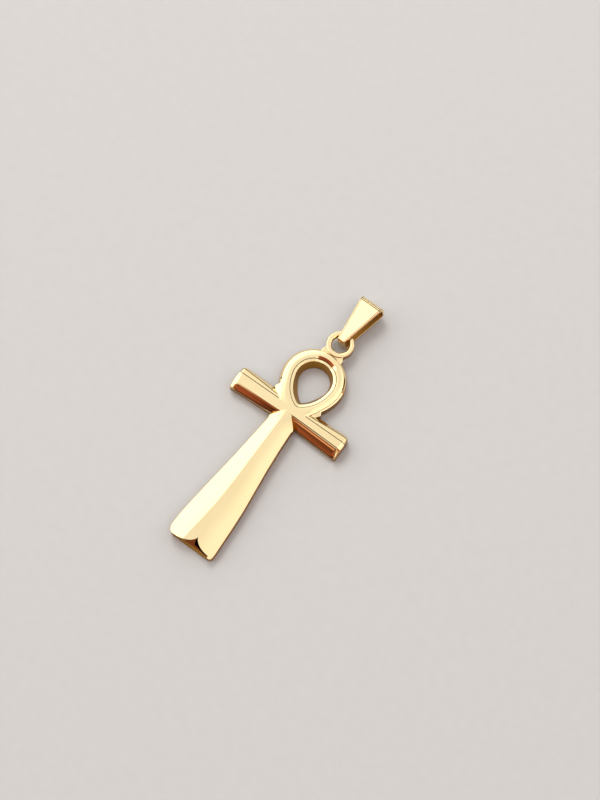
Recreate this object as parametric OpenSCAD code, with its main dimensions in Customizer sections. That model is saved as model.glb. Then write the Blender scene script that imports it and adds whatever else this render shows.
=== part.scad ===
// Ankh pendant: a cast cross with a drop-shaped loop and an eye, and a folded bail through the eye.
// It lies on its flat back at z = 0, with its face up (+Z) and the bail towards +Y.
// x = 0, y = 0 is the crossing of the arms and the shaft. All sizes are in millimetres.

/* [Body] */
// height of the crown of the arms, the shaft and the loop above the flat back
crown_z = 2.1; // [1.9:0.05:2.3]
// height of the upright wall of the loop's outer side
loop_wall_z = 1.2; // [1.0:0.05:1.35]

/* [Arms] */
// length of the left arm from the crossing to its tip
arm_left_len = 9.1; // [8.5:0.1:10.5]
// length of the right arm from the crossing to its tip
arm_right_len = 9.3; // [8.5:0.1:10.5]
// width of the arms in front of their crown, as it would be at the crossing
arm_front_root = 1.62; // [1.5:0.02:1.8]
// width of the arms in front of their crown, at the tips
arm_front_tip = 2; // [1.8:0.02:2.2]
// width of the arms behind their crown, as it would be at the crossing
arm_back_root = 1.69; // [1.55:0.01:1.8]
// width of the arms behind their crown, at the tips
arm_back_tip = 1.7; // [1.6:0.01:2]
// height of the upright wall in front, below the steep flank
arm_front_wall_z = 0.9; // [0.7:0.05:1.1]
// height of the upright wall behind, below the soft flank
arm_back_wall_z = 1.45; // [1.25:0.05:1.6]
// length of the slanted end of an arm
arm_end_len = 0.9; // [0.7:0.1:1.2]

/* [Shaft] */
// length of the shaft from the crossing to its foot
shaft_len = 23.7; // [21:0.1:27]
// half width that the shaft would have at the crossing
shaft_half_root = 1.72; // [1.6:0.02:1.85]
// half width of the shaft where it is widest, near the foot
shaft_half_foot = 3.75; // [3.2:0.05:4.2]
// height of the upright side walls of the shaft
shaft_wall_z = 1.3; // [1.1:0.05:1.45]
// distance of the notch from the middle of the foot
notch_x = 0.45; // [-0.6:0.05:0.6]
// length of the notch from its point to the end of the foot
notch_len = 1.8; // [1.4:0.05:2.0]
// radius of the rounded lobe to the left of the notch
lobe_left_r = 3.4; // [2.4:0.1:3.8]
// radius of the rounded lobe to the right of the notch
lobe_right_r = 3; // [2.2:0.1:3.4]
// distance of the left lobe from the end of the foot
lobe_left_step = 0.06; // [0.04:0.02:0.3]
// distance of the right lobe from the end of the foot
lobe_right_step = 0.34; // [0.1:0.02:0.4]
// height of the foot's wall below the notch
notch_z = 0.85; // [0.6:0.05:1.0]

/* [Loop] */
// distance from the crossing to the middle of the loop
loop_y = 5.72; // [5.4:0.02:6.1]
// distance of the loop from the pendant's middle line
loop_x = 0.1; // [-0.2:0.05:0.2]
// outer radius of the round part of the loop
loop_r = 4.74; // [4.5:0.01:5.1]
// distance of the loop's opening from the pendant's middle line
hole_x = 0.2; // [-0.2:0.05:0.3]
// radius of the round part of the loop's opening
hole_r = 2.3; // [2.1:0.01:2.6]
// height of the upright wall inside the opening
hole_wall_z = 0.45; // [0.25:0.05:0.65]
// how far the opening's lower tip reaches past its round part
tip_reach = 1.24; // [1:0.02:1.5]

/* [Eye] */
// distance from the top of the loop to the middle of the eye
eye_rise = 1.75; // [1.65:0.01:1.95]
// distance of the soldered eye from the middle of the loop
eye_x = 0.2; // [-0.3:0.05:0.3]
// outer radius of the eye
eye_r = 2.04; // [1.95:0.01:2.1]
// radius of the hole in the eye
eye_bore_r = 1.27; // [1.22:0.01:1.35]
// thickness of the eye
eye_t = 1.1; // [1.0:0.05:1.2]
// width of the slope around the ends of the eye's hole
rim_slope = 0.14; // [0.08:0.01:0.18]
// half width of the neck between the eye and the loop
neck_half = 1.45; // [1.3:0.05:1.6]
// half width of the foot of the neck, on the loop
neck_foot_half = 1.78; // [1.65:0.02:1.9]

/* [Bail] */
// length of the bail from its swing axis to the top of its fold
bail_reach = 6.4; // [5:0.05:8]
// width of the bail at its fold
bail_w_top = 3.85; // [2.6:0.05:3.9]
// width of the bail at its narrow end
bail_w_end = 1.15; // [1.0:0.05:1.2]
// room between the eye's rim and the inside of the bail, over the whole swing
bail_play = 0.13; // [0.12:0.01:0.2]
// thickness of the bail's sheet
sheet_t = 0.34; // [0.3:0.01:0.36]
// outer radius of the two bends at the fold
fold_r = 0.85; // [0.6:0.05:1.1]
// outer radius of the two bends at the narrow end
hook_r = 0.5; // [0.4:0.05:0.6]
// turn of the lying bail to the side, in degrees
bail_yaw = 3; // [0:0.5:3]
// how far the lying bail has slid along the eye's rim
bail_slide = 0.05; // [0:0.01:0.05]
// lean of the lying bail about its length, in degrees
bail_lean = 8; // [4:0.5:8]
// gap between the two hooked ends of the bail
end_gap = 0.12; // [0.08:0.01:0.2]

/* [Hidden] */
gold = "#E9C584";

// sections from the edge to the middle, as pairs: share of the half width,
// and share of the height between the top of the wall and the crown
at = 0;
rise = 1;
arm_front = [[1, 0], [0.93, 0.09], [0.31, 0.86], [0.2, 0.985]];
arm_back = [[1, 0], [0.96, 0.15], [0.8, 0.37], [0.33, 0.97]];
loop_outside = [[1, 0], [0.9, 0.39], [0.66, 0.74], [0.36, 0.94]];
loop_inside = [[1, 0], [0.67, 0.87], [0.3, 0.985]];
function over_wall(side, pair) = side + (crown_z - side) * pair[rise];

// slanted end of an arm: distance from the tip as a share of arm_end_len, share of width, share of height
back = 0;
wide = 1;
high = 2;
arm_end = [
    [0, 0.9, 0.8],
    [0.1, 0.96, 0.86],
    [0.3, 0.99, 0.905],
    [0.65, 1, 0.985],
    [1, 1, 1]
];

// shaft from the crossing down: share of its length, share of its flare from root to foot,
// share of that width that is left at the pointed root, share of its walls' height, share of the crown's height
dist = 0;
flare = 1;
kept = 2;
wall = 3;
ridge = 4;
shaft_rows = [
    [-0.015, 0, 0.12, 1.3, 0.97],
    [0.01, 0, 0.38, 1.3, 1],
    [0.032, 0.01, 0.57, 1.28, 1],
    [0.061, 0.03, 0.89, 1.26, 1],
    [0.09, 0.07, 1.12, 1.24, 1],
    [0.106, 0.11, 1.02, 1.24, 1],
    [0.122, 0.14, 1, 1.23, 1],
    [0.24, 0.244, 1, 1.2, 1],
    [0.376, 0.387, 1, 1.16, 1],
    [0.527, 0.589, 1, 1.1, 1],
    [0.667, 0.776, 1, 1.04, 1],
    [0.776, 0.887, 1, 1.01, 1],
    [0.865, 0.956, 1, 1, 1],
    [0.937, 1, 1, 1, 1],
    [0.966, 0.993, 1, 1, 1],
    [0.981, 0.95, 1, 1, 0.998],
    [0.991, 0.885, 1, 0.99, 0.99],
    [0.997, 0.805, 1, 0.975, 0.975],
    [1, 0.715, 1, 0.955, 0.955]
];

// section of the shaft from its edge to the middle: share of the half width, share of the roof's rise
roof_share = [1, 0.975, 0.5, 0.06];
roof_rise = [0, 0.09, 0.59, 0.985];

// outer radius of the loop as a share of loop_r, by the angle from straight down
loop_rows = [
    [0, 1.36],
    [12, 1.38],
    [20, 1.35],
    [28, 1.25],
    [36, 1.18],
    [43, 1.15],
    [48, 1.14],
    [50.5, 1.06],
    [55, 1.035],
    [62, 1.02],
    [70, 1.005],
    [78, 1],
    [180, 1]
];
loop_steps = 96;
tip_angle = 62;
tip_power = 2.2;
tip_soft = 6;

// the bail swings about the eye's rim: its axis runs along x, just outside the hole
eye_y = loop_y + loop_r + eye_rise;
axis_off = eye_bore_r + 0.2 * (eye_r - eye_bore_r);
axis_y = eye_y + axis_off;
pocket_r = sqrt(pow(eye_r - axis_off, 2) + pow(eye_t / 2, 2)) + bail_play;
bail_half_depth = pocket_r + sheet_t;

// the eye is as high as lets the leaning bail's narrow end clear the surface that the pendant lies on,
// and the bail's fold is lifted until its low edge just clears that surface
end_clearance = 0.05;
axis_z = bail_half_depth * cos(bail_lean) + bail_w_end / 2 * sin(bail_lean) + end_clearance;
fold_low = bail_half_depth * cos(bail_lean) + bail_w_top / 2 * sin(bail_lean);
bail_lift = asin((fold_low + 0.3 * end_clearance - axis_z) / (bail_reach - fold_r));
eye_z = axis_z;

// joins closed outlines with the same number of points into one solid
module loft(rings, closed = false) {
    m = len(rings);
    n = len(rings[0]);
    spans = closed ? m : m - 1;
    sides = [
        for (i = [0:spans - 1], j = [0:n - 1])
            let (k = (j + 1) % n, a = i * n, b = ((i + 1) % m) * n)
            each [[a + j, b + k, b + j], [a + j, a + k, b + k]]
    ];
    ends = closed ? [] : [[for (j = [n - 1:-1:0]) j], [for (j = [0:n - 1]) (m - 1) * n + j]];
    polyhedron(points = [for (r = rings) each r], faces = concat(sides, ends), convexity = 6);
}

// upright section at the place x of an arm that is reach long, with w of the full width and h of the full height
function arm_ring(x, reach, w, h) =
    let (
        front = w * (arm_front_root + (arm_front_tip - arm_front_root) * abs(x) / reach),
        behind = w * (arm_back_root + (arm_back_tip - arm_back_root) * abs(x) / reach),
        front_n = len(arm_front),
        back_n = len(arm_back)
    )
    concat(
        [[x, -front, 0]],
        [for (i = [0:front_n - 1]) [x, -front * arm_front[i][at], h * over_wall(arm_front_wall_z, arm_front[i])]],
        [[x, 0, h * crown_z]],
        [for (i = [back_n - 1:-1:0]) [x, behind * arm_back[i][at], h * over_wall(arm_back_wall_z, arm_back[i])]],
        [[x, behind, 0]]
    );

module arms() {
    last = len(arm_end) - 1;
    left = [
        for (i = [0:last])
            arm_ring(-arm_left_len + arm_end[i][back] * arm_end_len, arm_left_len, arm_end[i][wide], arm_end[i][high])
    ];
    right = [
        for (i = [last:-1:0])
            arm_ring(arm_right_len - arm_end[i][back] * arm_end_len, arm_right_len, arm_end[i][wide], arm_end[i][high])
    ];
    loft(concat(left, [arm_ring(0, arm_right_len, 1, 1)], right));
}

// roof-shaped section of the shaft
function shaft_ring(r) =
    let (
        half = (shaft_half_root + (shaft_half_foot - shaft_half_root) * r[flare]) * r[kept],
        top = crown_z * r[ridge],
        side = shaft_wall_z * r[wall],
        right = concat(
            [[half, 0]],
            [for (i = [0:len(roof_share) - 1]) [half * roof_share[i], side + (top - side) * roof_rise[i]]]
        )
    )
    concat(
        [for (p = right) [-p[0], -shaft_len * r[dist], p[1]]],
        [for (i = [len(right) - 1:-1:0]) [right[i][0], -shaft_len * r[dist], right[i][1]]]
    );

// distance of a lobe's middle from the notch's point, along the foot
function lobe_x(radius, step) = sqrt(pow(radius, 2) - pow(radius + step - notch_len, 2));

// cuts the pointed notch between the foot's two lobes, on a floor that falls to the foot's wall
module notch() {
    left = lobe_x(lobe_left_r, lobe_left_step);
    right = lobe_x(lobe_right_r, lobe_right_step);
    below = 0.3 * notch_len;
    above = 1.5 * crown_z;
    floor_slope = (crown_z - notch_z) / notch_len;
    translate([notch_x, -shaft_len, 0])
        intersection() {
            linear_extrude(height = above)
                difference() {
                    translate([-left, -below])
                        square([left + right, below + notch_len]);
                    translate([-left, lobe_left_r + lobe_left_step])
                        circle(r = lobe_left_r, $fn = 96);
                    translate([right, lobe_right_r + lobe_right_step])
                        circle(r = lobe_right_r, $fn = 96);
                }
            translate([-1.1 * left, 0, 0])
                rotate([90, 0, 90])
                linear_extrude(height = 1.1 * left + 1.1 * right)
                polygon([
                    [-1.1 * below, notch_z - 1.1 * below * floor_slope],
                    [notch_len + below, crown_z + below * floor_slope],
                    [notch_len + below, above + below * floor_slope],
                    [-1.1 * below, above + below * floor_slope]
                ]);
        }
}

module shaft() {
    difference() {
        loft([for (r = shaft_rows) shaft_ring(r)]);
        notch();
    }
}

// angle from straight down, for a turn t around the loop
function down_angle(t) = let (d = abs(((t + 90) % 360))) d > 180 ? 360 - d : d;

function soft(d) = sqrt(d * d + tip_soft * tip_soft) - tip_soft;

function hole_at(d) = hole_r + tip_reach * pow(max(0, 1 - soft(d) / tip_angle), tip_power);

// section of the loop at the turn t, between its outer edge and the edge of its opening
function loop_ring(t) =
    let (
        d = down_angle(t),
        outer = [loop_x, loop_y] + loop_r * lookup(d, loop_rows) * [cos(t), sin(t)],
        inner = [hole_x, loop_y] + hole_at(d) * [cos(t), sin(t)],
        middle = (outer + inner) / 2,
        reach = (outer - inner) / 2,
        inside_n = len(loop_inside)
    )
    concat(
        [[outer[0], outer[1], 0]],
        [for (pair = loop_outside) let (p = middle + reach * pair[at]) [p[0], p[1], over_wall(loop_wall_z, pair)]],
        [[middle[0], middle[1], crown_z]],
        [
            for (i = [inside_n - 1:-1:0])
                let (p = middle - reach * loop_inside[i][at])
                [p[0], p[1], over_wall(hole_wall_z, loop_inside[i])]
        ],
        [[inner[0], inner[1], 0]]
    );

module loop() {
    loft([for (i = [0:loop_steps - 1]) loop_ring(-90 + i * 360 / loop_steps)], closed = true);
}

// flat tab on the top of the loop: a ring on a short neck, with a square foot as deep as the loop
module eye() {
    foot_y = loop_y + sqrt(loop_r * loop_r - neck_foot_half * neck_foot_half);
    foot_top = foot_y + 0.28 * eye_rise;
    translate([eye_x, 0, eye_z - eye_t / 2])
        linear_extrude(height = eye_t)
        union() {
            translate([0, eye_y])
                circle(r = eye_r, $fn = 96);
            translate([-neck_half, foot_y])
                square([2 * neck_half, eye_y - 0.6 * eye_r - foot_y]);
        }
    translate([eye_x, 0, 0])
        linear_extrude(height = eye_z + eye_t / 2)
        polygon([
            [-neck_foot_half, foot_y - 0.3 * neck_foot_half],
            [neck_foot_half, foot_y - 0.3 * neck_foot_half],
            [neck_foot_half, foot_y + 0.06 * eye_rise],
            [neck_half, foot_top],
            [-neck_half, foot_top],
            [-neck_foot_half, foot_y + 0.06 * eye_rise]
        ]);
}

// the hole in the eye, with a slope around both ends
module eye_hole() {
    translate([eye_x, eye_y, eye_z]) {
        cylinder(r = eye_bore_r, h = 2 * eye_t, center = true, $fn = 96);
        for (end = [0, 1])
            mirror([0, 0, end])
            translate([0, 0, eye_t / 2 - rim_slope])
            cylinder(r1 = eye_bore_r, r2 = eye_bore_r + 2 * rim_slope, h = 2 * rim_slope, $fn = 96);
    }
}

// the cross, the loop and the eye are one casting
module ankh() {
    color(gold)
        difference() {
            union() {
                arms();
                shaft();
                loop();
                eye();
            }
            eye_hole();
        }
}

// rectangle with round corners, larger ones at its far end
module bent_outline(y0, y1, hh, r_near, r_far) {
    translate([y0 + r_near, -hh])
        square([y1 - r_far - y0 - r_near, 2 * hh]);
    translate([y0, -hh + r_near])
        square([r_near + 0.01, 2 * (hh - r_near)]);
    translate([y1 - r_far - 0.01, -hh + r_far])
        square([r_far + 0.01, 2 * (hh - r_far)]);
    for (side = [-1, 1]) {
        translate([y0 + r_near, side * (hh - r_near)])
            circle(r = r_near, $fn = 48);
        translate([y1 - r_far, side * (hh - r_far)])
            circle(r = r_far, $fn = 48);
    }
}

// one strip folded at the top; its two narrow ends hook through the eye and nearly meet
module bail_strip() {
    intersection() {
        rotate([90, 0, 90])
            translate([0, 0, -bail_w_top])
            linear_extrude(height = 2 * bail_w_top)
            difference() {
                bent_outline(-bail_half_depth, bail_reach, bail_half_depth, hook_r, fold_r);
                bent_outline(-pocket_r, bail_reach - sheet_t, pocket_r, hook_r - sheet_t, fold_r - sheet_t);
                translate([-1.5 * bail_half_depth, -end_gap / 2])
                    square([bail_half_depth, end_gap]);
            }
        translate([0, 0, -1.1 * bail_half_depth])
            linear_extrude(height = 2.2 * bail_half_depth)
            polygon([
                [-bail_w_end / 2, -1.001 * bail_half_depth],
                [bail_w_end / 2, -1.001 * bail_half_depth],
                [bail_w_top / 2, 1.001 * bail_reach],
                [-bail_w_top / 2, 1.001 * bail_reach]
            ]);
    }
}

module bail() {
    color(gold)
        translate([eye_x + bail_slide, axis_y, axis_z])
        rotate([bail_lift, 0, -bail_yaw])
        rotate([0, -bail_lean, 0])
        bail_strip();
}

ankh();
bail();
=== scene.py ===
import math

import bmesh
import bpy
import numpy as np
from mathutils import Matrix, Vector


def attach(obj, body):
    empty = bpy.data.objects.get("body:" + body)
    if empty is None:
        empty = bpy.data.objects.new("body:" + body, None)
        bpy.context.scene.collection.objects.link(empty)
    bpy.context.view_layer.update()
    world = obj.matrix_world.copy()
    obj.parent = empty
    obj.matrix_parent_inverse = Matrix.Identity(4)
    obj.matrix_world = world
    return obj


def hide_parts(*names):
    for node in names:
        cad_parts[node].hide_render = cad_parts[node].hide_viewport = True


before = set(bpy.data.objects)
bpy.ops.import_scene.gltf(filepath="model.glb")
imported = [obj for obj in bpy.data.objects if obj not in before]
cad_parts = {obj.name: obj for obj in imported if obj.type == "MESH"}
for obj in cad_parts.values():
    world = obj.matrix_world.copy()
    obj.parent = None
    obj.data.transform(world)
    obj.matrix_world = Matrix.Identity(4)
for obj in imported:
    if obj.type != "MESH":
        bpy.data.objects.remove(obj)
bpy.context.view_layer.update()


# The arms: one bar with a flat back, cast in one with the shaft, the loop and the eye. Behind its narrow crown the
# flank falls in two soft bands, in front the flank is ground steep, crisp on the right arm and soft on the left,
# and both ends are filed off at a slant. Sizes are in millimetres from the crossing, as in the CAD source.
crown_z = 2.1
arm_left, arm_right = 9.08, 9.3
arm_back, arm_front, arm_front_flare = 1.69, 1.62, 0.042
end_slant, end_round = math.radians(19), 0.1


def softened(corners, reach, count=6):
    """Rounds the corners of bent lines: an array of lines, corners and coordinates comes in, and each inner
    corner becomes count points of the parabola that touches both its sides at the distance reach from it, or at
    0.42 of the shorter side, with one more point on each side that keeps the flats flat. reach is one value for
    all corners or one for each."""
    cut_most, flat_reach, flat_most = 0.42, 1.8, 0.48
    before, at, after = corners[..., :-2, :], corners[..., 1:-1, :], corners[..., 2:, :]
    side_in = np.maximum(np.linalg.norm(before - at, axis=-1, keepdims=True), 1e-9)
    side_out = np.maximum(np.linalg.norm(after - at, axis=-1, keepdims=True), 1e-9)
    cut = np.minimum(np.reshape(reach, (-1, 1)), cut_most * np.minimum(side_in, side_out))
    start, end = at + (before - at) / side_in * cut, at + (after - at) / side_out * cut
    arc = [(1 - t) ** 2 * start + 2 * t * (1 - t) * at + t ** 2 * end for t in np.linspace(0, 1, count)]
    arc.insert(0, at + (before - at) / side_in * np.minimum(flat_reach * cut, flat_most * side_in))
    arc.append(at + (after - at) / side_out * np.minimum(flat_reach * cut, flat_most * side_out))
    inner = np.stack(arc, -2)
    inner = inner.reshape(*inner.shape[:-3], -1, inner.shape[-1])
    return np.concatenate([corners[..., :1, :], inner, corners[..., -1:, :]], -2)


def solid(name, rings, closed=False):
    """A closed mesh from an array of rings, points and coordinates in millimetres: neighbours are joined by
    four-sided faces, and the first and last ring are closed by a flat face each, unless the rings close."""
    m, n = rings.shape[:2]
    i = np.arange(m if closed else m - 1)[:, None]
    j = np.arange(n)[None, :]
    here, there = (i % m) * n, ((i + 1) % m) * n
    faces = np.stack([here + j, here + (j + 1) % n, there + (j + 1) % n, there + j], -1)
    faces = faces.reshape(-1, 4).tolist()
    if not closed:
        faces += [list(range(n)), list(range((m - 1) * n, m * n))]
    mesh = bpy.data.meshes.new(name)
    mesh.from_pydata((rings.reshape(-1, 3) * 0.001).tolist(), [], faces)
    faces_outwards(mesh)
    obj = bpy.data.objects.new(name, mesh)
    bpy.context.scene.collection.objects.link(obj)
    return obj


def faces_outwards(mesh):
    """Turns every face of a closed mesh outwards."""
    work = bmesh.new()
    work.from_mesh(mesh)
    bmesh.ops.recalc_face_normals(work, faces=work.faces)
    work.to_mesh(mesh)
    work.free()


def eased(value):
    """The smooth step from 0 to 1: three times the square less twice the cube of the clipped value."""
    value = np.clip(value, 0, 1)
    return value * value * (3 - 2 * value)


# stations along the bar, crowded towards its ends
tip = np.concatenate([
    [0, 0.01, 0.025, 0.045, 0.07, 0.1], np.arange(0.15, 1.4, 0.05), [1.6, 2, 2.7, 3.6, 4.6, 5.6, 6.6, 7.6]])
x = np.concatenate([-(arm_left - tip), [-0.9, -0.3, 0.3, 0.9], (arm_right - tip)[::-1]])[:, None]
from_tip = np.where(x < 0, arm_left, arm_right) - np.abs(x)
# 0 on the left arm and 1 on the right one, with a soft change between them
change_half = 1.5
right = eased((x + change_half) / (2 * change_half))


def round_corner(radius):
    """How far a round corner in plan draws the side in, at each station."""
    return radius - np.sqrt(np.maximum(radius ** 2 - np.maximum(radius - from_tip, 0) ** 2, 0))


# half widths to the back and to the front, with round corners, the back one rounder on the right arm
corner_back, corner_back_more, corner_front = 0.5, 0.2, 0.22
back = arm_back - round_corner(corner_back + corner_back_more * right)
front = arm_front + arm_front_flare * np.abs(x) - round_corner(corner_front)

# the front flank: share of the front half width and fall from the crown on the left arm, where it is ground soft,
# the same on the right one, where it is crisp, the fall in the full rim at the ends, and how far it flares
flank_rows = np.array([
    (0, 0, 0, 0, 0, 0),
    (0.27, 0.03, 0.2, 0.014, 0.03, 1),
    (0.46, 0.1, 0.235, 0.19, 0.06, 1),
    (0.57, 0.19, 0.3, 0.235, 0.1, 1),
    (0.65, 0.322, 0.37, 0.335, 0.14, 0.7),
    (0.73, 0.462, 0.5, 0.465, 0.2, 0.5),
    (0.81, 0.595, 0.66, 0.675, 0.27, 0.3),
    (0.88, 0.716, 0.84, 0.935, 0.34, 0.1),
    (0.93, 0.8, 0.935, 1.085, 0.39, 0),
    (1, 0.95, 1, 1.22, 0.56, 0)])
share_left, fall_left, share_right, fall_right, fall_rim, flare = flank_rows.T
crown_flare = 0.06
share = share_left * (1 - right) + share_right * right + crown_flare * flare * right * np.abs(x) / arm_right
fall = fall_left * (1 - right) + fall_right * right
# the flank rises into a rim before each end: within a short step on the right arm, and softly on the left one
rim_wide, rim_narrows, rim_step = 0.78, 0.42, 0.12
rim_left_wide, rim_left_step = 1.25, 0.8
in_rim = eased((rim_wide - rim_narrows * share - from_tip) / rim_step) * right
in_rim += eased((rim_left_wide - from_tip) / rim_left_step) * (1 - right)
fall = fall * (1 - in_rim) + fall_rim * in_rim
front_line = np.stack(np.broadcast_arrays(-front * share, crown_z - fall), -1)

# the back flank: share of the back half width, and slope in degrees up to there, for the crown and its thin
# groove, a soft band that widens outwards, a second groove, the outer band and the edge
band = 0.56 + (0.2 + 0.05 * right) * eased((np.abs(x) - 2) / 7)
share = np.concatenate(np.broadcast_arrays(
    0.315 + 0 * x, 0.35, 0.38, band, band + 0.034, band + 0.062, 0.965, 1), 1)
slopes = np.tan(np.radians([2, 70, -68, 24, 70, -66, 41, 67]))
fall = np.cumsum(np.diff(share, axis=1, prepend=0) * arm_back * slopes, axis=1)
back_line = np.stack(np.broadcast_arrays(back * share, crown_z - fall), -1)

# each end is filed off at a slant, which is longer at the front, and its edge is rounded
slant_long, slant_right_more, slant_front_more = 0.5, 0.12, 0.16
top = np.concatenate([front_line[:, ::-1], back_line], 1)
slant = np.maximum(slant_long + slant_right_more * right - slant_front_more * top[..., 0] - from_tip, 0)
slant *= math.tan(end_slant)
end_edge = end_round - np.sqrt(end_round ** 2 - np.maximum(end_round - from_tip, 0) ** 2)
top[..., 1] -= slant + end_edge
foot_front, foot_back = top[:, :1] * [1, 0], top[:, -1:] * [1, 0]
# how far each corner is rounded, from the front edge over the crown to the back edge
reaches = [0.04, 0.04] + [0.05] * 3 + [0.03] * 2 + [0.02, 0.03]
reaches += [0.03, 0.015, 0.01, 0.015, 0.015, 0.01, 0.015, 0.04, 0.04]
profile = softened(np.concatenate([foot_front, top, foot_back], 1), reaches)
arms = solid("arms", np.concatenate([np.broadcast_to(x[..., None], profile[..., :1].shape), profile], -1))


# The shaft: it widens towards its foot under two wide flat facets, which meet in a soft ridge a little left of
# the middle. Its root is a point between the front flanks. A notch between two round lobes is cut in its end.
shaft_len = 23.75
notch_x, notch_y = 0.45, -21.9
lobe_left, lobe_right = (3.05, 1.8), (2.6, 1.45)
notch_z = 0.85

# place along the shaft, half width to the left and to the right, place of the ridge, slope of the facets
shaft_rows = np.array([
    (0.35, 0.2, 0.25, -0.1, 2), (-0.25, 0.62, 0.7, -0.15, 3), (-0.75, 1.0, 0.97, -0.18, 5.5),
    (-1.45, 1.5, 1.66, -0.2, 9), (-2.05, 1.93, 2.2, -0.2, 11), (-2.2, 1.93, 2.22, -0.2, 11.7),
    (-2.5, 1.86, 2.12, -0.2, 12), (-2.9, 1.87, 2.14, -0.2, 12.2), (-5.7, 2.13, 2.3, -0.2, 12.2),
    (-8.9, 2.43, 2.58, -0.2, 12), (-12.5, 2.83, 3.0, -0.2, 11.6), (-15.8, 3.22, 3.37, -0.27, 11.2),
    (-18.4, 3.5, 3.54, -0.5, 11), (-20.5, 3.68, 3.64, -0.72, 10.8), (-22.2, 3.74, 3.72, -0.94, 10.6),
    (-22.8, 3.7, 3.74, -1.0, 10.6), (-23.2, 3.55, 3.73, -1.03, 10.6), (-23.45, 3.38, 3.68, -1.05, 10.6),
    (-23.6, 3.2, 3.55, -1.06, 10.6), (-23.7, 3.0, 3.38, -1.06, 10.6), (-23.75, 2.75, 3.15, -1.07, 10.6)])
y, half_left, half_right, ridge_x, slope = softened(shaft_rows, 0.3, 4).T[..., None]
incline = np.tan(np.radians(slope))
# the roof falls in a small round at the foot, and as the square of the way into the arms at the root
foot_r, root_y = 0.12, -0.1
from_end = y + shaft_len
end_fall = foot_r - np.sqrt(foot_r ** 2 - np.maximum(foot_r - from_end, 0) ** 2)
end_fall += 0.5 * np.maximum(y - root_y, 0) ** 2


def facet(half, way):
    """One side of the roof, from the ridge out: a facet that steepens a little half way, a thin bevel and the
    wall. The fall is the way out times the tangent of the slope."""
    bevel = 0.07
    span = half - way * ridge_x
    out = np.concatenate([0.5 * span, span - bevel, span, span], 1)
    low = (span - bevel) * incline
    fall = np.concatenate([0.42 * span * incline, low, low + bevel, 0 * span], 1)
    height = crown_z - end_fall - fall
    height[:, -1] = 0
    return np.stack([ridge_x + way * out, height], -1)


ridge_point = np.stack([ridge_x, crown_z - end_fall], -1)
reaches = [0.02, 0.05, 1.5, 0.16, 1.5, 0.05, 0.02]
roof = softened(np.concatenate([facet(half_left, -1)[:, ::-1], ridge_point, facet(half_right, 1)], 1), reaches, 9)
shaft = solid("shaft", np.stack([roof[..., 0], np.broadcast_to(y, roof.shape[:2]), roof[..., 1]], -1))

# the notch's cutter: two quarter ellipses that meet in a cusp, over a floor that rises from the foot to the ridge;
# it reaches past the foot and above the crown
quarter = np.linspace(0, math.pi / 2, 40)
curve_left, curve_right = [
    np.stack([notch_x + side * wide - side * wide * np.cos(quarter), notch_y - long * np.sin(quarter)], -1)
    for side, (wide, long) in ((-1, lobe_left), (1, lobe_right))]
past_foot = -shaft_len - 0.6
outline = np.concatenate([
    [[curve_left[-1, 0], past_foot]], curve_left[::-1], curve_right[1:], [[curve_right[-1, 0], past_foot]]])
floor_rise = (crown_z - notch_z) / (shaft_len + notch_y)
notch_floor = notch_z + (outline[:, 1] + shaft_len) * floor_rise
notch = solid("notch", np.stack([np.column_stack([outline, z]) for z in (notch_floor, notch_floor + 3)]))
# a second cutter files the floor's lower edge off steeply
edge_y, edge_rise = -shaft_len + 0.3, 2.2
filed = notch_z + (edge_y + shaft_len) * floor_rise + (outline[:, 1] - edge_y) * edge_rise
notch_edge = solid("notch_edge", np.stack([np.column_stack([outline, z]) for z in (filed, filed + 4)]))

# a deep wedge is left below the cusp and along the right lobe: a third cutter follows its curve, dug into the
# floor, and narrows along it, in millimetres at shares of its length, but keeps clear of the left lobe
deep_line = curve_right[3:-3]
into_notch = np.gradient(deep_line, axis=0)[:, ::-1] * [1, -1]
into_notch /= np.linalg.norm(into_notch, axis=1, keepdims=True)
room = deep_line[:, 0] - np.interp(-deep_line[:, 1], -curve_left[:, 1], curve_left[:, 0])
room_used = 0.95
trench_wide = np.interp(
    np.linspace(0, 1, len(deep_line)), [0, 0.36, 0.5, 0.65, 1], [0.9, 0.8, 0.4, 0.2, 0.13])
trench_wide = np.minimum(trench_wide, room_used * room)
floor_there = notch_z + (deep_line[:, 1] + shaft_len) * floor_rise
# its section: share of the width from the lobe's wall, and height from the floor
trench_depth = 0.5
sides = [(-0.04, 0.6), (-0.04, 0), (0.45, -trench_depth), (1, 0), (1, 0.6)]
trench = solid("trench", np.stack([
    np.column_stack([deep_line + into_notch * (trench_wide * share_in)[:, None], floor_there + rise])
    for share_in, rise in sides], 1))


# The loop: a ring with a round outer flank and a broad crown, drawn out to a tip below, where it joins the arms.
# On its right shoulder the flank is ground in steps. A thin groove and a narrow bevel run round its opening, whose
# steep wall gets the satin gold, deeper in colour as painted shade.
loop_x, loop_y, loop_r = 0.1, 5.72, 4.74
opening_x, opening_lean = 0.2, 4
rim_r, rim_tip = 2.7, 1.5
hole_r, hole_tip = 2.3, 1.2

# outer radius as a share of loop_r, by the angle from straight down, with a step where the loop leaves the arms,
# and the same without that step, from which the crown's lines are measured
loop_rows = np.array([
    (0, 1.36), (12, 1.38), (20, 1.35), (28, 1.26), (36, 1.2), (43, 1.17), (46.5, 1.16), (49, 1.045),
    (55, 1.03), (62, 1.015), (70, 1.005), (78, 1), (180, 1)])
crown_rows = np.array([
    (0, 1.36), (12, 1.38), (20, 1.34), (28, 1.24), (36, 1.15), (44, 1.085), (52, 1.04),
    (62, 1.015), (70, 1.005), (78, 1), (180, 1)])
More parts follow.
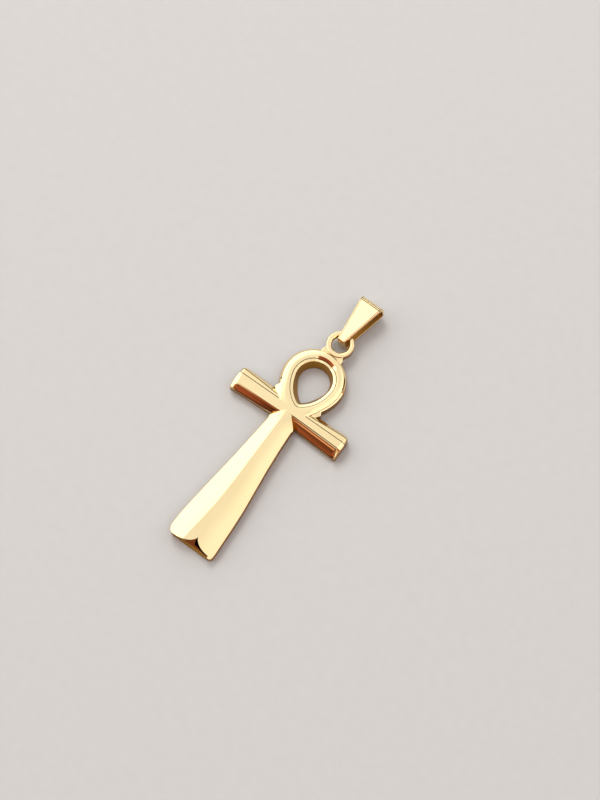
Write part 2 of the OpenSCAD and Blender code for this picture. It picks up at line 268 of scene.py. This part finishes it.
# stations around the loop, crowded where the outline has its step
turn_deg = np.unique(np.concatenate([np.arange(240) * 1.5, np.arange(40, 60, 0.5), np.arange(300, 320, 0.5)]))
down = np.minimum(turn_deg, 360 - turn_deg)
turn = np.radians(turn_deg)
out_way = np.stack([np.sin(turn), -np.cos(turn)], -1)
outline_line, crown_edge = [
    [loop_x, 0] + loop_r * np.interp(down, *table.T)[:, None] * out_way for table in (loop_rows, crown_rows)]


def teardrop(radius, tip_long, width, power):
    """Radius by angle: round, and drawn out by tip_long towards opening_lean degrees. The share of it is a power
    of one less the angle from there over the width in degrees, and the tip itself is rounded over 3 degrees."""
    soft = 3
    away = np.sqrt(((turn_deg - opening_lean + 180) % 360 - 180) ** 2 + soft ** 2) - soft
    return radius + tip_long * np.clip(1 - away / width, 0, None) ** power


rim, hole = teardrop(rim_r, rim_tip, 75, 1.9), teardrop(hole_r, hole_tip, 62, 2.2)
rim_line, hole_line = [[opening_x, 0] + radius[:, None] * out_way for radius in (rim, hole)]


def ring(line, z):
    """One line around the loop: its places in plan and its height, one value or one for each station."""
    return np.column_stack([line, np.broadcast_to(z, len(turn))])


# the outer side of the section: distance inwards and height, how much fuller it is below the shoulders, and the
# distance and height of the steps on the right shoulder; the last row is the edge of the crown
below_shoulder = eased((70 - down) / 30)
on_right = (eased((turn_deg - 24) / 16) * eased((112 - turn_deg) / 22))[:, None]
outer_side = [
    (outline_line, 0, 0, 0, 0, 0),
    (outline_line, 0, 1.2, 0, 0, 1.5),
    (outline_line, 0.05, 1.42, 0.16, 0.05, 1.66),
    (crown_edge, 0.2, 1.66, 0.14, 0.33, 1.75),
    (crown_edge, 0.42, 1.87, 0.08, 0.36, 1.86),
    (crown_edge, 0.72, 2.03, 0.02, 0.72, 2.0)]
rings = []
for line, inwards, z, fuller, step_inwards, step_z in outer_side:
    smooth = ring(line - inwards * out_way, z + fuller * below_shoulder)
    stepped = ring(line - step_inwards * out_way, step_z)
    rings.append(smooth + (stepped - smooth) * on_right)
# the crown's highest line runs half way between its outer and its inner edge
inner_edge = 0.5
crown_line = (line - inwards * out_way + rim_line + inner_edge * out_way) / 2
rings.append(ring(crown_line, crown_z))
# the inner side: distance outwards from the opening's rim, height, and how much lower it is buffed at the top
at_top = eased((down - 148) / 14)
inner_side = [(0.53, 2.075, 0.34), (0.48, 1.93, 0.34), (0.43, 2.03, 0.3), (0.05, 1.95, 0.08), (0, 1.87, 0.04)]
rings += [ring(rim_line + outwards * out_way, z - lower * at_top) for outwards, z, lower in inner_side]
# the opening's wall, which slopes inwards from the rim and is upright at its foot
rings += [ring(hole_line + 0.01 * out_way, 0.45), ring(hole_line, 0)]
reaches = [0.03, 0.05, 0.02, 0.01, 0.03, 0.1, 0.015, 0.01, 0.015, 0.02, 0.03, 0.05]
loop_lines = softened(np.stack(rings, 1), reaches, 5)
loop = solid("loop", loop_lines + [0, loop_y, 0], closed=True)


# The eye: a flat ring at the top of the loop, with a sloped rim around its hole, on a tab that widens to the loop
# and leaves a thin seam where it meets the loop's flank. It stands a little off the middle.
eye_x, eye_y, eye_z = 0.2, 12.21, 1.41322
eye_r, eye_bore_r, eye_t, rim_slope = 2.04, 1.27, 1.1, 0.14

# its section, as distance from the middle of the hole and height from the middle of its thickness, round once
half_t, crest_r = eye_t / 2, 1.6
eye_corners = np.array([[
    (crest_r, half_t), (eye_r - 0.12, half_t - 0.01), (eye_r, half_t - 0.14), (eye_r, -half_t),
    (eye_bore_r + 1.2 * rim_slope, -half_t), (eye_bore_r, -half_t + rim_slope),
    (eye_bore_r, half_t - rim_slope), (eye_bore_r + 1.3 * rim_slope, half_t - 0.02), (crest_r, half_t)]])
out, up = softened(eye_corners, 0.07, 6)[0, :-1].T
angle = np.radians(np.arange(144) * 2.5)[:, None]
eye = solid("eye", np.stack(np.broadcast_arrays(
    eye_x + out * np.cos(angle), eye_y + out * np.sin(angle), eye_z + up), -1), closed=True)

# the tab, along the pendant: place, half width, underside and top
tab_rows = np.array([
    (9.75, 1.74, 0, 1.68), (10.15, 1.76, 0, 1.72), (10.36, 1.76, 0, 1.76), (10.5, 1.64, 0, 1.8),
    (10.65, 1.58, 0.3, 1.86), (10.86, 1.5, 0.863, 1.95)])
y, half, under, over = softened(tab_rows, 0.12, 4).T[..., None]
tab_corners = np.stack([
    np.concatenate([0 * half, -half, -half, half, half, 0 * half], 1),
    np.concatenate([under, under, over, over, under, under], 1)], -1)
tab_lines = softened(tab_corners, 0.1, 5)[:, :-1]
tab = solid("tab", np.stack([
    eye_x + tab_lines[..., 0], np.broadcast_to(y, tab_lines.shape[:2]), tab_lines[..., 1]], -1))


# The casting as one piece: brass from a mould, filed, tumbled and buffed to a mirror, then plated with yellow
# gold, which gives pale highlights and deep copper reflections. The upright walls and the opening get a rougher
# satin gold, whose deeper colour is painted shade, and the grooves a nearly black gold that is painted shade.
def cut_and_join(name, first, joined, cut):
    """One solid: the first with the joined solids added and the cut solids taken away, by Boolean modifiers."""
    for other, operation in [(o, "UNION") for o in joined] + [(o, "DIFFERENCE") for o in cut]:
        change = first.modifiers.new(operation.lower(), "BOOLEAN")
        change.solver, change.operation, change.object = "EXACT", operation, other
    shape = bpy.data.meshes.new_from_object(first.evaluated_get(bpy.context.evaluated_depsgraph_get()))
    for other in [first, *joined, *cut]:
        bpy.data.objects.remove(other)
    shape.name = name
    obj = bpy.data.objects.new(name, shape)
    bpy.context.scene.collection.objects.link(obj)
    return obj


def polish_shading(mesh, degrees):
    """Smooth shading, with a crease where two faces meet at more than that angle."""
    mesh.shade_smooth()
    mesh.set_sharp_from_angle(angle=math.radians(degrees))


cross = cut_and_join("ankh_cross", shaft, [arms, loop, tab, eye], [notch, notch_edge, trench])
polish_shading(cross.data, 24)


def linear(hexa):
    """An sRGB hex colour as linear values with full cover."""
    value = np.array([int(hexa[i:i + 2], 16) for i in (1, 3, 5)]) / 255
    return (*np.where(value <= 0.04045, value / 12.92, ((value + 0.055) / 1.055) ** 2.4).tolist(), 1.0)


def node(tree, kind, inputs=None, **settings):
    """Adds one node: settings go to its properties, inputs to its sockets, as a value or as a link."""
    made = tree.nodes.new(kind)
    for name, value in settings.items():
        setattr(made, name, value)
    for name, value in (inputs or {}).items():
        if isinstance(value, bpy.types.NodeSocket):
            tree.links.new(value, made.inputs[name])
        else:
            made.inputs[name].default_value = value
    return made


def gold_plate(name, light, deep, stretch, line_size, wave_size, wave_height, roughness):
    """Gold plate: two close golds in soft patches, a roughness that drifts with faint buffing lines, and a bump
    of low hand-polished waves. stretch gives the lines' direction, sizes are in metres, roughness its two ends."""
    patch_size, line_height = 0.004, 0.0000012
    material = bpy.data.materials.new(name)
    material.use_nodes = True
    tree = material.node_tree
    tree.nodes.clear()
    place = node(tree, "ShaderNodeTexCoord").outputs["Object"]
    patches = node(tree, "ShaderNodeTexNoise", {"Vector": place, "Scale": 1 / patch_size, "Detail": 2})
    colour = node(tree, "ShaderNodeMix", {
        0: patches.outputs["Fac"], 6: linear(light), 7: linear(deep)}, data_type="RGBA")
    stretched = node(tree, "ShaderNodeMapping", {"Vector": place, "Scale": stretch})
    lines = node(tree, "ShaderNodeTexNoise", {"Vector": stretched.outputs[0], "Scale": 1 / line_size, "Detail": 3})
    rough = node(tree, "ShaderNodeMapRange", {
        0: lines.outputs["Fac"], 1: 0.3, 2: 0.7, 3: roughness[0], 4: roughness[1]})
    waves = node(tree, "ShaderNodeTexNoise", {"Vector": place, "Scale": 1 / wave_size, "Detail": 1})
    low = node(tree, "ShaderNodeBump", {"Height": waves.outputs["Fac"], "Distance": wave_height, "Strength": 1})
    fine = node(tree, "ShaderNodeBump", {
        "Height": lines.outputs["Fac"], "Distance": line_height, "Strength": 1, "Normal": low.outputs[0]})
    gold = node(tree, "ShaderNodeBsdfPrincipled", {
        "Base Color": colour.outputs[2], "Metallic": 1.0, "Roughness": rough.outputs[0], "Normal": fine.outputs[0]})
    node(tree, "ShaderNodeOutputMaterial", {"Surface": gold.outputs[0]})
    return material


# gold plate on brass, buffed to a mirror: it throws back the softbox nearly white and the room as copper
buffed_gold = gold_plate(
    "buffed_gold_plate_on_casting", "#FEE7B4", "#F9DFA8", (1, 0.12, 1), 0.00012, 0.0022, 0.00001, (0.05, 0.1))
# the same plate, rougher, on the walls and in the opening: a deep, soft gold without clear reflections, its deeper
# colour painted shade
satin_shade_gold = gold_plate(
    "satin_gold_plate_with_painted_shade_on_walls", "#BE8C34", "#966A22", (1, 1, 0.2), 0.00012, 0.0015, 0.00001, (0.3, 0.42))
# painted shade in the grooves and the notch's deep wedge: brown, nearly black, so it draws thin dark lines
groove_shade_gold = gold_plate(
    "gold_plate_with_painted_shade_in_grooves", "#34200C", "#1C0E04", (1, 1, 0.2), 0.00012, 0.0015, 0.00001, (0.3, 0.42))
cross.data.materials.clear()
for material in (buffed_gold, satin_shade_gold, groove_shade_gold):
    cross.data.materials.append(material)
facing, middle = np.empty((2, len(cross.data.polygons) * 3))
cross.data.polygons.foreach_get("normal", facing)
cross.data.polygons.foreach_get("center", middle)
upward = np.abs(facing.reshape(-1, 3)[:, 2])
place = middle.reshape(-1, 3) * 1000
height = place[:, 2]
# the satin gold, darker as painted shade, is on faces steeper than the wall angle and on all that lies inside the
# opening's rim
wall_angle = math.radians(64)
aside, along = (place[:, :2] - [opening_x, loop_y]).T
rim_there = np.interp(np.degrees(np.arctan2(aside, -along)), turn_deg, rim, period=360)
steep = (upward < math.cos(wall_angle)) | (np.hypot(aside, along) < rim_there)
# the nearly black painted shade is on steep faces near the crown that aren't quite upright, and on the sides of the
# notch's deep wedge
groove_z, upright, wedge_z, wedge_upward = 1.5, 0.05, 0.3, 0.8
to_line = np.linalg.norm(place[:, None, :2] - deep_line, axis=-1)
in_wedge = (to_line.min(1) < trench_wide[to_line.argmin(1)]) & (upward < wedge_upward) & (height > wedge_z)
groove_shade_faces = steep & (upward > upright) & (height > groove_z) | in_wedge
cross.data.polygons.foreach_set("material_index", np.where(groove_shade_faces, 2, steep).astype(int))
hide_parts("ankh")
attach(cross, "cross")


# The bail: one tapered strip of rolled sheet, folded at its wide middle, with both narrow ends hooked
# through the eye until they nearly meet. It is plated and buffed like the casting outside, and satin inside in a
# deeper gold that is painted shade.
sheet_t = 0.34
bail_reach, bail_w_top, bail_w_end = 6.4, 3.85, 1.15
fold_r, hook_r, end_gap = 0.85, 0.5, 0.12
yaw, lean = np.radians([3, 8])
# it hangs on the eye's upper rim, a fifth of the rim out from the hole, with a little play around it
hinge_share, hinge_aside, play = 0.2, 0.05, 0.13
eye_rim = eye_r - eye_bore_r
hinge = np.array([eye_x + hinge_aside, eye_y + eye_bore_r + hinge_share * eye_rim, eye_z])


def corner(y, z, radius, start, end):
    """Points of an arc about (y, z), from one angle in degrees to another."""
    turns = np.radians(np.linspace(start, end, 46))
    return np.stack([y + radius * np.cos(turns), z + radius * np.sin(turns)], -1)


def flat_run(start, end, z):
    """Points of a flat part at the height z, without its two ends."""
    between = np.linspace(start, end, 40)[1:-1]
    return np.stack([between, np.full(len(between), z)], -1)


# the middle line of the sheet, along and up from the hinge, from the lower hooked end around the fold to the
# upper one: d is half the depth of the folded bail, and t is half the sheet
d, t = math.hypot((1 - hinge_share) * eye_rim, half_t) + play + sheet_t, sheet_t / 2
path = np.concatenate([
    [[-d + t, -end_gap / 2]],
    corner(-d + hook_r, -d + hook_r, hook_r - t, 180, 270),
    flat_run(-d + hook_r, bail_reach - fold_r, -d + t),
    corner(bail_reach - fold_r, -d + fold_r, fold_r - t, -90, 0),
    corner(bail_reach - fold_r, d - fold_r, fold_r - t, 0, 90),
    flat_run(bail_reach - fold_r, -d + hook_r, d - t),
    corner(-d + hook_r, d - hook_r, hook_r - t, 90, 180),
    [[-d + t, end_gap / 2]]])
ahead = np.gradient(path, axis=0)
ahead /= np.linalg.norm(ahead, axis=1, keepdims=True)
outward = np.stack([ahead[:, 1], -ahead[:, 0]], -1)
strip_half = (bail_w_end + (bail_w_top - bail_w_end) * (path[:, 0] + d) / (bail_reach + d)) / 2
# the sheet's section, from its middle to one side: a flat, a thin line which the stamping die left, and a narrow
# bevel at the edge. The flat up to edge_from is drawn out to the strip's width, and the rest keeps its width.
edge_from, edge_wide, groove_depth = 0.8, 0.2, 0.035
half_line = np.array([
    (0, t), (0.775, t), (0.795, t - groove_depth), (0.81, t - groove_depth), (0.83, t),
    (0.9, t), (1, t - 0.1), (1, -t)])
section = softened(np.concatenate([half_line, half_line[::-1] * [-1, 1]]), 0.04, 5)[:-1]
side_part = np.sign(section[:, 0]) * np.clip(np.abs(section[:, 0]) - edge_from, 0, None)
flat_part = np.clip(section[:, 0] / edge_from, -1, 1)
across = (strip_half[:, None] - edge_wide) * flat_part + side_part
# two thin lines are pressed across the front of the fold, each with the fall of a bell curve around its angle
press_turns, press_wide, press_depth = (14, 34), 4, 0.06
fold_turn = np.degrees(np.arctan2(path[:, 0] - bail_reach + fold_r, path[:, 1] - d + fold_r))
pressed = sum(np.exp(-((fold_turn - at) / press_wide) ** 2) for at in press_turns)
pressed = np.where((path[:, 0] > bail_reach - fold_r - 0.1) & (path[:, 1] > 0), press_depth * pressed, 0)
thick = np.where(section[None, :, 1] > 0, section[None, :, 1] - pressed[:, None], section[None, :, 1])
yz = path[:, None, :] + outward[:, None, :] * thick[..., None]
strip = np.stack([across, yz[..., 0], yz[..., 1]], -1)

# it is leaned about its length, lifted until its fold just clears the floor, and turned to the side
floor_gap = 0.015
fold_z = d * math.cos(lean) + bail_w_top / 2 * math.sin(lean) + floor_gap
lift = math.asin((fold_z - eye_z) / (bail_reach - fold_r))


def turned(points, about, angle):
    """Points turned about the x, y or z axis (0, 1 or 2) by an angle in radians, right-handed."""
    c, s = math.cos(angle), math.sin(angle)
    i, j = [(1, 2), (2, 0), (0, 1)][about]
    out = points.copy()
    out[..., i], out[..., j] = c * points[..., i] - s * points[..., j], s * points[..., i] + c * points[..., j]
    return out


strip = turned(turned(turned(strip, 1, -lean), 0, lift), 2, -yaw) + hinge
bail = solid("ankh_bail", strip)
polish_shading(bail.data, 35)
# gold plate on rolled brass sheet, buffed outside: smoother than the casting, with longer, calmer reflections
bail.data.materials.append(gold_plate(
    "buffed_gold_plate_on_sheet", "#FDE5B0", "#F8DDA6", (1, 0.08, 1), 0.0001, 0.003, 0.000008, (0.06, 0.11)))
# the sheet's inner side, rough and satin, between the two plates: a deeper gold that is painted shade, without
# clear reflections
bail.data.materials.append(gold_plate(
    "satin_gold_plate_with_painted_shade_inside_sheet", "#D2A552", "#B08236", (1, 0.3, 1), 0.0001, 0.0015, 0.00001, (0.4, 0.55)))
bail.data.materials.append(groove_shade_gold)
# the inner side gets the deeper gold of painted shade, and the nearly black painted shade goes where the fold is
# pressed in deep and in the stamped lines
press_seen, near_top, stamped_from, stamped_to = 0.05, 0.02, 0.779, 0.826
inside = np.broadcast_to(section[:, 1] <= -t + 0.001, (len(path) - 1, len(section)))
beside = (np.abs(section[:, 0]) + np.abs(np.roll(section[:, 0], -1))) / 2
in_line = (pressed[:-1, None] + pressed[1:, None] > press_seen) & (section[:, 1] > t - near_top)
in_line |= (section[:, 1] > 0) & (beside > stamped_from) & (beside < stamped_to)
kinds = np.where(in_line, 2, inside).astype(int)
bail.data.polygons.foreach_set("material_index", np.append(kinds.ravel(), [0, 0]))
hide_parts("bail")
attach(bail, "bail")


# The floor: a plain pale matt board, far larger than the view.
board_half, grain_size = 2, 0.0015
board = bpy.data.meshes.new("floor_board")
corners = [(i * board_half, j * board_half, 0) for i, j in ((-1, -1), (1, -1), (1, 1), (-1, 1))]
board.from_pydata(corners, [], [(0, 1, 2, 3)])
# painted board with a fine grain: an even light grey without gloss, on which the soft shadow shows
pale = bpy.data.materials.new("pale_matt_board")
pale.use_nodes = True
tree = pale.node_tree
tree.nodes.clear()
grain = node(tree, "ShaderNodeTexNoise", {
    "Vector": node(tree, "ShaderNodeTexCoord").outputs["Object"], "Scale": 1 / grain_size, "Detail": 4})
tone = node(tree, "ShaderNodeMix", {
    0: grain.outputs["Fac"], 6: linear("#BFBFBE"), 7: linear("#B9B9B8")}, data_type="RGBA")
matt = node(tree, "ShaderNodeBsdfPrincipled", {"Base Color": tone.outputs[2], "Roughness": 0.85})
node(tree, "ShaderNodeOutputMaterial", {"Surface": matt.outputs[0]})
board.materials.append(pale)
floor_board = bpy.data.objects.new("floor_board", board)
bpy.context.scene.collection.objects.link(floor_board)


# The light: a wide white softbox overhead, tipped to the side behind the loop, and a window to the left, in a room
# with warm brown walls and one paler strip on them. The world draws them by direction, and one large area light
# gives the soft shadow.
world = bpy.data.worlds.new("softbox_room")
bpy.context.scene.world = world
world.use_nodes = True
tree = world.node_tree
tree.nodes.clear()
way = node(tree, "ShaderNodeTexCoord").outputs["Generated"]
split = node(tree, "ShaderNodeSeparateXYZ", {0: way})


def towards(direction):
    """How far a direction of view turns towards the given one: the cosine of the angle between them."""
    aim = Vector(direction).normalized()
    return node(tree, "ShaderNodeVectorMath", {0: way, 1: aim}, operation="DOT_PRODUCT").outputs["Value"]


def colour_steps(value, steps):
    """A colour ramp over a value from -1 to 1, given as pairs of a value and a linear colour."""
    spread = node(tree, "ShaderNodeMapRange", {0: value, 1: -1.0, 2: 1.0, 3: 0.0, 4: 1.0}).outputs[0]
    ramp = node(tree, "ShaderNodeValToRGB", {0: spread})
    bar = ramp.color_ramp.elements
    while len(bar) < len(steps):
        bar.new(0.5)
    for stop, (at, colour) in zip(bar, steps):
        stop.position, stop.color = (at + 1) / 2, (*colour, 1)
    return ramp.outputs[0]


# from the dark floor of the room, over its brown walls and the paler strip, up into the softbox
overhead = colour_steps(towards((-0.15, 0.48, 0.86)), [
    (-0.4, (0.012, 0.004, 0.002)), (-0.28, (0.05, 0.013, 0.006)), (-0.2, (0.24, 0.064, 0.03)),
    (-0.13, (0.35, 0.095, 0.045)), (-0.05, (0.19, 0.06, 0.028)), (0.05, (0.15, 0.043, 0.019)),
    (0.14, (0.17, 0.051, 0.023)), (0.18, (0.3, 0.1, 0.05)), (0.21, (0.75, 0.38, 0.23)),
    (0.3, (0.75, 0.38, 0.23)), (0.34, (0.2, 0.06, 0.027)), (0.43, (0.3, 0.11, 0.055)),
    (0.49, (0.85, 0.78, 0.68)), (0.62, (1, 1, 1)), (0.85, (0.98, 0.99, 1)), (1.0, (0.97, 0.98, 1.0))])
window = node(tree, "ShaderNodeMapRange", {
    0: towards((-0.93, -0.1, 0.3)), 1: 0.72, 2: 0.78, 3: 0.0, 4: 1.0}).outputs[0]
lit = node(tree, "ShaderNodeMix", {0: window, 6: overhead, 7: (1, 1, 0.98, 1)}, data_type="RGBA").outputs[2]
# the room is brighter towards both sides than ahead, mostly to the left, and dim below the horizon
greys = [
    (-0.9, 1), (-0.5, 0.95), (-0.38, 0.75), (-0.2, 0.52), (0.1, 0.48), (0.17, 0.5), (0.3, 0.6), (0.45, 0.64),
    (0.7, 0.75)]
sidewards = colour_steps(split.outputs["X"], [(at, (grey, grey, grey)) for at, grey in greys])
horizon = node(tree, "ShaderNodeMapRange", {
    0: split.outputs["Z"], 1: 0.06, 2: 0.14, 3: 0.1, 4: 2.0}, interpolation_type="SMOOTHSTEP").outputs[0]
shaded = node(tree, "ShaderNodeMix", {
    0: 1.0, 6: lit, 7: sidewards}, data_type="RGBA", blend_type="MULTIPLY").outputs[2]
room = node(tree, "ShaderNodeBackground", {"Color": shaded, "Strength": horizon})
node(tree, "ShaderNodeOutputWorld", {"Surface": room.outputs[0]})

key = bpy.data.objects.new("key_softbox", bpy.data.lights.new("key_softbox", "AREA"))
key.data.shape, key.data.size, key.data.energy = "DISK", 0.25, 1.2
key.data.color = (1, 0.98, 0.95)
key.location = (-0.30, 0.25, 0.45)
key.rotation_euler = (Vector(key.location)).to_track_quat("Z", "Y").to_euler()
key.visible_glossy = False
bpy.context.scene.collection.objects.link(key)


# The camera: 74 degrees above the floor, from the side of the right arm and the foot, as in the photograph.
camera = bpy.data.objects.new("camera", bpy.data.cameras.new("camera"))
around, above_floor, distance = math.radians(35.8), math.radians(74.2), 0.22857
target = Vector((0.00003, 0.00257, 0))
back_way = Vector((
    math.sin(around) * math.cos(above_floor), -math.cos(around) * math.cos(above_floor), math.sin(above_floor)))
camera.location = target + distance * back_way
camera.rotation_euler = back_way.to_track_quat("Z", "Y").to_euler()
camera.data.lens = 72
camera.data.sensor_width = 36
camera.data.clip_start = 0.005
bpy.context.scene.collection.objects.link(camera)
bpy.context.scene.camera = camera
bpy.context.scene.view_settings.view_transform = "Standard"
